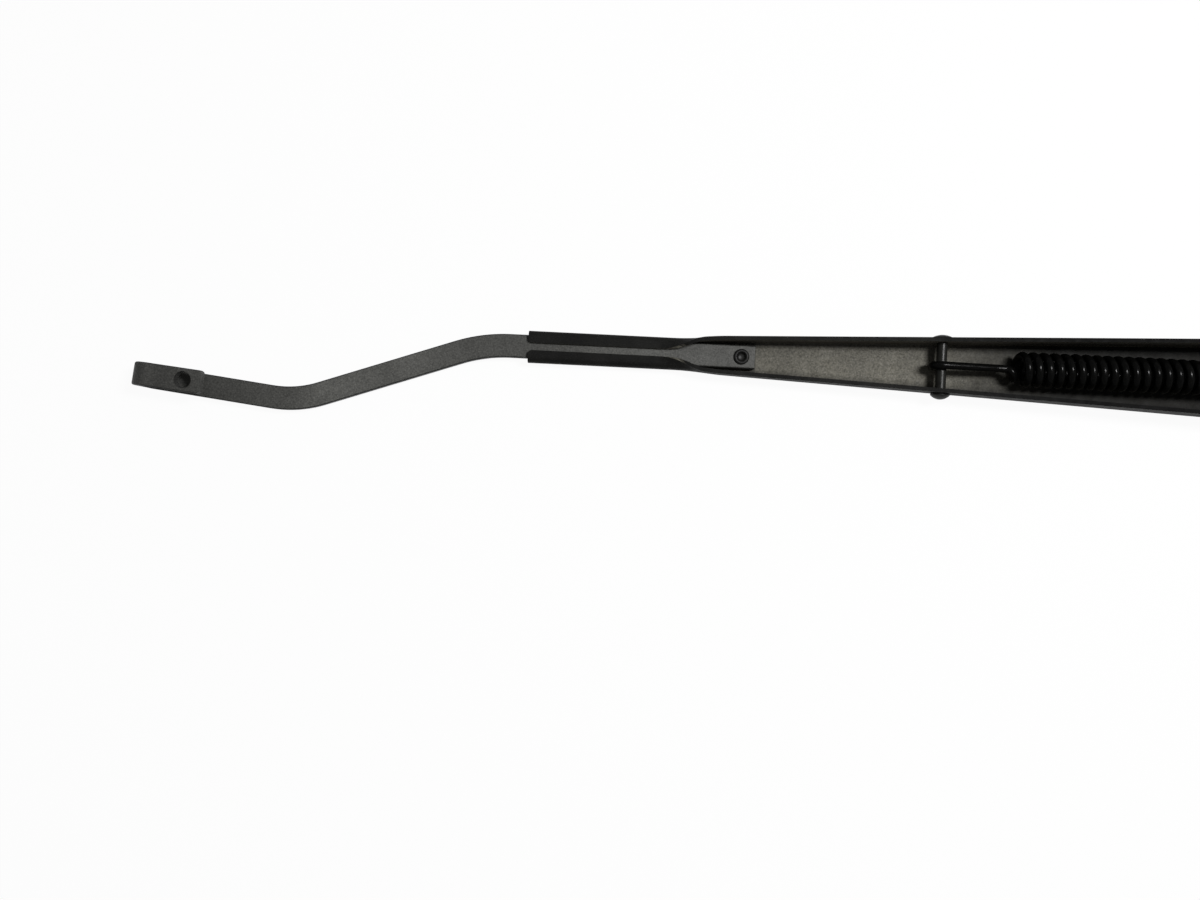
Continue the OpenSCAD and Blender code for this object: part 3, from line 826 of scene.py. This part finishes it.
@dataclass
class TensionSpring:
    """Coil spring with a long shank hooked over the cross pin and a loop in the link's eye.

    Its wire is made in the spring's own frame, whose X axis runs from the cross pin to the link's
    pin along the middle of the coils. Lengths along it start at the cross pin. The rise is the
    last stretch of the shank, where the wire moves out from that middle to the coils.
    """

    pin: Vector = field(default_factory=lambda: Vector((-215.1, 0.0, -12.3)) * MM)
    link_pin: Vector = field(default_factory=lambda: Vector((-48.0, 0.0, -6.5)) * MM)
    wire_r: float = 1.5 * MM
    wire_end_share: float = 0.86
    wire_chamfer: float = 0.2 * MM
    hook_r: float = 3.6 * MM
    hook_from_deg: float = 300.0
    shank: float = 29.2 * MM
    rise: float = 5.0 * MM
    coil_r: float = 5.35 * MM
    coil_end: float = 131.85 * MM
    turns: float = 25.75
    narrow_at: float = 80.0 * MM
    narrow_by: float = 0.075
    loop_at: float = 134.35 * MM
    loop_bend: float = 2.2 * MM
    bend_from_deg: float = 210.0
    bend_to_deg: float = 270.0
    loop_deg: float = 175.0
    loop_level_deg: float = 70.0
    sides: int = 14
    coil_steps: int = 28
    hook_steps: int = 20
    shank_steps: int = 5
    rise_steps: int = 24
    bend_steps: int = 4
    loop_steps: int = 24
    smooth_deg: float = 40.0
    frame: Matrix = field(init=False)

    def __post_init__(self) -> None:
        """Set the frame along the spring's line, from the pin to the link."""
        along = (self.link_pin - self.pin).normalized()
        across = Axis.Y.value
        self.frame = Matrix((along, across, along.cross(across))).transposed().to_4x4()
        self.frame.translation = self.pin

    @property
    def pitch(self) -> float:
        """Advance of one coil along the line."""
        return (self.coil_end - self.shank) / self.turns

    def hook_path(self) -> list[Vector]:
        """Follow the wire from its free end round the pin and along the shank to the first coil.

        The rise is half a turn round the spring's line, and it ends with the coils' own advance.

        Returns:
            Points in the spring's own frame.
        """
        straight = self.shank - self.rise
        start, leave = math.radians(self.hook_from_deg), math.acos(self.hook_r / straight)
        path = []
        for share in shares(self.hook_steps):
            turn = start + (leave - start) * share
            path.append(self.hook_r * Vector((math.cos(turn), 0.0, math.sin(turn))))
        middle = Vector((straight, 0.0, 0.0))
        path += [path[-1].lerp(middle, share) for share in shares(self.shank_steps)[1:-1]]
        advance = self.pitch / 2.0
        for share in shares(self.rise_steps):
            turn = math.radians(90.0 + 180.0 * share)
            out = self.coil_r * ease(share)
            reach = (2.0 * self.rise - advance) * share + (advance - self.rise) * share * share
            path.append(Vector((straight + reach, out * math.cos(turn), out * math.sin(turn))))
        return path

    def loop_path(self) -> list[Vector]:
        """Follow the wire from the last coil through the link's eye.

        It bends along the line first, and then swings round the eye while it comes back to the
        middle of the coils.

        Returns:
            Points in the spring's own frame.
        """
        path = []
        for share in shares(self.bend_steps):
            turn = math.radians(self.bend_from_deg + (self.bend_to_deg - self.bend_from_deg) * share)
            path.append(Vector((self.coil_end + self.loop_bend * (1.0 + math.cos(turn)), -self.coil_r,
                                self.loop_bend * math.sin(turn))))
        for share in shares(self.loop_steps)[1:]:
            swing = self.loop_deg * share
            drop = self.loop_bend * (ease(min(swing / self.loop_level_deg, 1.0)) - 1.0)
            turn = math.radians(swing - 90.0)
            path.append(Vector((self.loop_at + self.coil_r * math.cos(turn),
                                self.coil_r * math.sin(turn), drop)))
        return path

    def build(self) -> bpy.types.Object:
        """Wind the spring between the link's pin and the cross pin.

        Returns:
            The finished spring.
        """
        mesh = bmesh.new()
        hook, loop = self.hook_path(), self.loop_path()
        ring = self.first_ring(mesh, hook)
        ring = self.sweep(mesh, ring, hook)
        ring = self.wind(mesh, ring)
        last = Vector((self.coil_end, -self.coil_r, 0.0))
        ring = self.sweep(mesh, ring, [last] + loop)
        bmesh.ops.contextual_create(mesh, geom=ring)
        self.narrow(mesh)
        bmesh.ops.transform(mesh, matrix=self.frame, verts=mesh.verts)
        bmesh.ops.recalc_face_normals(mesh, faces=mesh.faces)
        smooth_by_angle(mesh, self.smooth_deg)
        piece = link_mesh("spring_wound", mesh, [SPRING_COAT.material()])
        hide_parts("tension_spring")
        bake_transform(piece)
        return piece

    def first_ring(self, mesh: BMesh, path: Sequence[Vector]) -> Ring:
        """Close the wire's free end with a chamfered face at the start of a path.

        Args:
            mesh: Mesh that takes the ring.
            path: Points that the wire follows.

        Returns:
            The edges of the open ring.
        """
        heading = (path[1] - path[0]).normalized()
        turn = Axis.Z.value.rotation_difference(heading).to_matrix().to_4x4()
        step = heading * self.wire_chamfer
        bmesh.ops.create_circle(
            mesh, cap_ends=True, segments=self.sides, radius=self.wire_r * self.wire_end_share,
            matrix=Matrix.Translation(path[0] - step) @ turn)
        face_edges = [edge for edge in mesh.edges if edge.is_boundary]
        ring = self.extend(mesh, face_edges, Matrix.Translation(step))
        bmesh.ops.scale(mesh, vec=Vector.Fill(3, 1.0 / self.wire_end_share),
                        space=Matrix.Translation(-path[0]), verts=ring_verts(ring))
        return ring

    def extend(self, mesh: BMesh, ring: Ring, move: Matrix) -> Ring:
        """Extrude a ring of the wire and move the new ring.

        Args:
            mesh: Mesh of the wire.
            ring: Edges of the last ring.
            move: Movement from the last ring to the new one.

        Returns:
            The edges of the new ring.
        """
        made = bmesh.ops.extrude_edge_only(mesh, edges=ring)["geom"]
        verts = [part for part in made if isinstance(part, BMVert)]
        bmesh.ops.transform(mesh, matrix=move, verts=verts)
        fresh = set(verts)
        return [part for part in made
                if isinstance(part, BMEdge) and part.verts[0] in fresh and part.verts[1] in fresh]

    def sweep(self, mesh: BMesh, ring: Ring, path: Sequence[Vector]) -> Ring:
        """Carry a ring along a path, square to it all the way and without twist.

        Args:
            mesh: Mesh of the wire.
            ring: Edges of the ring at the path's first point.
            path: Points of the wire's middle.

        Returns:
            The edges of the ring at the path's last point.
        """
        headings = [(after - before).normalized() for before, after in zip(path, path[1:])]
        facing = headings[0]
        for i in range(1, len(path)):
            ahead = headings[min(i, len(headings) - 1)]
            square = (headings[i - 1] + ahead).normalized()
            turn = facing.rotation_difference(square).to_matrix().to_4x4()
            move = Matrix.Translation(path[i]) @ turn @ Matrix.Translation(-path[i - 1])
            ring = self.extend(mesh, ring, move)
            facing = square
        return ring

    def wind(self, mesh: BMesh, ring: Ring) -> Ring:
        """Wind the coils round the spring's line.

        Args:
            mesh: Mesh of the wire.
            ring: Edges of the ring where the coils start.

        Returns:
            The edges of the ring where they end.
        """
        made = bmesh.ops.spin(
            mesh, geom=ring + ring_verts(ring), cent=(0.0, 0.0, 0.0), axis=Axis.X.value,
            dvec=Axis.X.value * (self.pitch / self.coil_steps), angle=math.tau * self.turns,
            steps=round(self.turns * self.coil_steps), use_merge=False, use_normal_flip=False,
            use_duplicate=False)
        return [part for part in made["geom_last"] if isinstance(part, BMEdge)]

    def narrow(self, mesh: BMesh) -> None:
        """Narrow the last coils, which come close to the channel's back when the arm folds.

        Args:
            mesh: Mesh of the wound wire, in the spring's own frame.
        """
        for vert in mesh.verts:
            share = (vert.co.x - self.narrow_at) / (self.coil_end - self.narrow_at)
            vert.co.yz = vert.co.yz * (1.0 - self.narrow_by * min(max(share, 0.0), 1.0))


# Rigid pieces


@dataclass
class TurnedRivet:
    """Semi-tubular rivet, turned from the profile of half its section.

    Each point of the profile is its distance from the rivet's middle and its height over the foot.
    """

    foot: Vector = field(default_factory=lambda: Vector((-291.4, 0.0, -20.0)) * MM)
    profile_mm: tuple[tuple[float, float], ...] = (
        (0.0, 0.0), (3.2, 0.0), (2.0, 1.2), (2.0, 5.5), (3.0, 5.5), (3.05, 5.56), (3.04, 5.75),
        (2.86, 6.0), (2.6, 6.2), (2.38, 6.29), (2.15, 6.3), (1.92, 6.2), (1.68, 5.9), (1.5, 5.45),
        (1.3, 5.12), (0.9, 4.95), (0.0, 4.9))
    steps: int = 48
    merge_mm: float = 0.001
    smooth_deg: float = 50.0

    def build(self) -> bpy.types.Object:
        """Turn the rivet.

        Returns:
            The finished rivet.
        """
        mesh = bmesh.new()
        verts = [mesh.verts.new(self.foot + Vector((r, 0.0, z)) * MM) for r, z in self.profile_mm]
        edges = [mesh.edges.new(pair) for pair in zip(verts, verts[1:])]
        bmesh.ops.spin(mesh, geom=verts + edges, cent=self.foot, axis=Axis.Z.value, angle=math.tau,
                       steps=self.steps, use_merge=True, use_duplicate=False)
        bmesh.ops.remove_doubles(mesh, verts=mesh.verts, dist=self.merge_mm * MM)
        bmesh.ops.recalc_face_normals(mesh, faces=mesh.faces)
        smooth_by_angle(mesh, self.smooth_deg)
        piece = link_mesh("bar_rivet_turned", mesh, [RIVET_COAT.material()])
        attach(piece, Body.ARM.value)
        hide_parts("bar_rivet")
        return piece


@dataclass
class Arm:
    """Channel with its bar, rivet and pins.

    A name that ends in _from is the share of a face's normal, along one axis, from which the face
    counts as level, as an end, as a wall or as an edge.
    """

    back_z: float = -20.0 * MM
    sheet: float = 1.5 * MM
    sheet_slack: float = 0.5 * MM
    level_from: float = 0.8
    end_from: float = 0.9
    wall_from: float = 0.7
    bar_end: float = -300.0 * MM
    edge_from: float = 0.35
    hole: Vector = field(default_factory=lambda: Vector((-502.5, -19.7, -8.0)) * MM)
    hole_r: float = 3.4 * MM
    hole_level_from: float = 0.5
    pin_inside: float = 8.0 * MM
    sheet_round_mm: float = 0.22
    bar_round_mm: float = 0.2
    cross_pin_round_mm: float = 0.2
    hinge_pin_round_mm: float = 0.25
    rivet: TurnedRivet = field(default_factory=TurnedRivet)

    def sheet_side(self, face: BMFace) -> SheetSide:
        """Tell the channel's outside from its greyer floor and walls.

        Args:
            face: A face of the channel.

        Returns:
            The side that the face is on.
        """
        centre, normal = face.calc_center_median(), face.normal
        floor = self.back_z + self.sheet
        if normal.z > self.level_from:
            return SheetSide.FLOOR if centre.z < floor + self.sheet_slack else SheetSide.OUTSIDE
        if normal.z < -self.level_from:
            return SheetSide.FLOOR if centre.z > floor else SheetSide.OUTSIDE
        if abs(normal.x) > self.end_from or normal.y * centre.y >= 0.0:
            return SheetSide.OUTSIDE
        return SheetSide.WALL if abs(normal.y) > self.wall_from else SheetSide.FLOOR

    def bar_side(self, face: BMFace) -> BarSide:
        """Tell the bar's face from its edges and end, which carry painted shade, and from the wall of its
        hole.

        Args:
            face: A face of the bar.

        Returns:
            The side that the face is on.
        """
        centre, normal = face.calc_center_median(), face.normal
        if (centre.xy - self.hole.xy).length < self.hole_r and abs(normal.z) < self.hole_level_from:
            return BarSide.HOLE
        at_end = normal.x > self.edge_from and centre.x > self.bar_end
        return BarSide.EDGE if at_end or abs(normal.y) > self.edge_from else BarSide.FACE

    def pin_side(self, face: BMFace) -> PinSide:
        """Tell the cross pin's riveted heads from its shank between the channel's walls."""
        inside = abs(face.calc_center_median().y) < self.pin_inside
        return PinSide.SHANK if inside else PinSide.HEAD

    def build(self, nodes: dict[str, bpy.types.Object]) -> list[bpy.types.Object]:
        """Dress the arm's pieces and turn its rivet.

        Args:
            nodes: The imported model's objects by name.

        Returns:
            The finished pieces.
        """
        pieces = [
            DressedNode("channel", Body.ARM, "channel_coat", (CHANNEL_OUTSIDE, CHANNEL_INSIDE, CHANNEL_WALL),
                        round_mm=self.sheet_round_mm, choose=self.sheet_side),
            DressedNode("bar", Body.ARM, "bar_coat", (BAR_COAT, BAR_EDGE_SHADE, HOLE_SHADE_COAT),
                        round_mm=self.bar_round_mm, choose=self.bar_side),
            DressedNode("cross_pin", Body.ARM, "rivet_black", (RIVET_COAT, PIN_COAT),
                        round_mm=self.cross_pin_round_mm, choose=self.pin_side),
            DressedNode("hinge_pin", Body.ARM, "rivet_black", (RIVET_COAT,),
                        round_mm=self.hinge_pin_round_mm),
        ]
        return [piece.build(nodes) for piece in pieces] + [self.rivet.build()]


@dataclass
class Head:
    """Die-cast head with the fork's bushes and the link's pin."""

    cast_round_mm: float = 0.5
    cast_segments: int = 3
    bush_round_mm: float = 0.12
    pin_round_mm: float = 0.2

    def build(self, nodes: dict[str, bpy.types.Object]) -> list[bpy.types.Object]:
        """Dress the head's pieces.

        Args:
            nodes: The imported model's objects by name.

        Returns:
            The finished pieces.
        """
        casting = DressedNode("head", Body.HEAD, "cast_black", (HEAD_CASTING,),
                              round_mm=self.cast_round_mm, segments=self.cast_segments)
        bushes = [DressedNode(f"hinge_bush_{side}", Body.HEAD, "bush_plastic", (BUSH_MOULDING,),
                              round_mm=self.bush_round_mm) for side in ("left", "right")]
        pin = DressedNode("link_pin", Body.HEAD, "pin_steel", (PIN_STEEL,), round_mm=self.pin_round_mm)
        return [piece.build(nodes) for piece in (casting, *bushes, pin)]


@dataclass
class Link:
    """Bowed plate between the spring and the head."""

    round_mm: float = 0.15

    def build(self, nodes: dict[str, bpy.types.Object]) -> list[bpy.types.Object]:
        """Dress the link.

        Args:
            nodes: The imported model's objects by name.

        Returns:
            The finished piece, in a list.
        """
        plate = DressedNode("spring_link", Body.LINK, "link_steel", (LINK_STEEL,), round_mm=self.round_mm)
        return [plate.build(nodes)]


# Studio


@dataclass
class Lamp:
    """Soft box that looks at a point, with its width along the arm and its depth across it."""

    name: str
    place: Vector
    target: Vector
    watts: float
    width: float
    depth: float

    def build(self) -> None:
        """Hang the lamp."""
        data = bpy.data.lights.new(self.name, "AREA")
        data.energy = self.watts
        data.shape = "RECTANGLE"
        data.size = self.width
        data.size_y = self.depth
        back = (self.place - self.target).normalized()
        wide = Axis.Y.value.cross(back).normalized()
        lamp = bpy.data.objects.new(self.name, data)
        lamp.location = self.place
        lamp.rotation_euler = Matrix((wide, back.cross(wide), back)).transposed().to_euler()
        bpy.context.scene.collection.objects.link(lamp)


@dataclass
class Studio:
    """White floor, one soft lamp, a dim room and the camera straight above the arm.

    The horizon is the band of heights in which a reflection of the room goes from white, as the
    ground around the arm is, to the dim light overhead.
    """

    camera_place: Vector = field(default_factory=lambda: Vector((-0.344, -0.0385, 0.3855)))
    camera_roll_deg: float = 2.8
    view_deg: float = 60.0
    sensor_mm: float = 36.0
    clip_start: float = 0.01
    floor_z: float = -0.0205
    floor_half: float = 1.6
    fold_joint: str = "arm_fold"
    sunk_floor_z: float = -0.60
    fill: float = 0.2
    horizon: Band = (0.02, 0.1)
    key: Lamp = field(default_factory=lambda: Lamp(
        "key_lamp", place=Vector((0.02, 0.155, 0.69)), target=Vector((-0.28, 0.0, -0.015)),
        watts=6.1, width=0.24, depth=0.13))

    def build(self) -> None:
        """Set up the floor, the lamp, the world and the camera."""
        self.floor()
        self.key.build()
        self.world()
        self.camera()

    def floor(self) -> None:
        """Lay the floor."""
        mesh = bmesh.new()
        bmesh.ops.create_grid(
            mesh, x_segments=2, y_segments=2, size=self.floor_half,
            matrix=Matrix.Translation((0.0, 0.0, self.floor_z)))
        floor = link_mesh("floor", mesh, [GROUND.material()])
        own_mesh(floor)

    def world(self) -> None:
        """Fill the room with dim light, white behind the floor and dark overhead."""
        world = bpy.data.worlds.new("room")
        world.use_nodes = True
        room = NodeTree(world.node_tree)
        path = room.add("ShaderNodeLightPath").outputs
        height = room.split(room.add("ShaderNodeTexCoord").outputs["Generated"])["Z"]
        mirrored = room.math("MULTIPLY", path["Is Glossy Ray"], room.span(height, *self.horizon, 1.0, 0.0))
        seen = room.math("MAXIMUM", path["Is Camera Ray"], path["Is Transmission Ray"])
        white = room.math("MAXIMUM", seen, mirrored)
        sky = room.add("ShaderNodeBackground")
        room.feed(sky.inputs["Color"], WHITE)
        room.feed(sky.inputs["Strength"], room.span(white, 0.0, 1.0, self.fill, 1.0))
        output = room.add("ShaderNodeOutputWorld")
        room.link(sky.outputs["Background"], output.inputs["Surface"])
        bpy.context.scene.world = world

    def camera(self) -> None:
        """Put the camera where the photograph was taken, looking straight down."""
        data = bpy.data.cameras.new("camera")
        data.sensor_width = self.sensor_mm
        data.angle = math.radians(self.view_deg)
        data.clip_start = self.clip_start
        camera = bpy.data.objects.new("camera", data)
        camera.location = self.camera_place
        camera.rotation_euler = (0.0, 0.0, math.radians(self.camera_roll_deg))
        bpy.context.scene.collection.objects.link(camera)
        bpy.context.scene.camera = camera


def main() -> None:
    """Build the arm's pieces in order, then the studio."""
    logging.basicConfig(level=logging.INFO, format="%(name)s: %(message)s")
    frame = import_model()
    bpy.context.scene.view_settings.view_transform = "Standard"
    for part in (Arm(), Head(), Link()):
        for piece in part.build(frame["nodes"]):
            LOG.info("%s: %d faces", piece.name, len(piece.data.polygons))
    spring = TensionSpring().build()
    LOG.info("%s: %d faces", spring.name, len(spring.data.polygons))
    Studio().build()


if __name__ == "__main__":
    main()
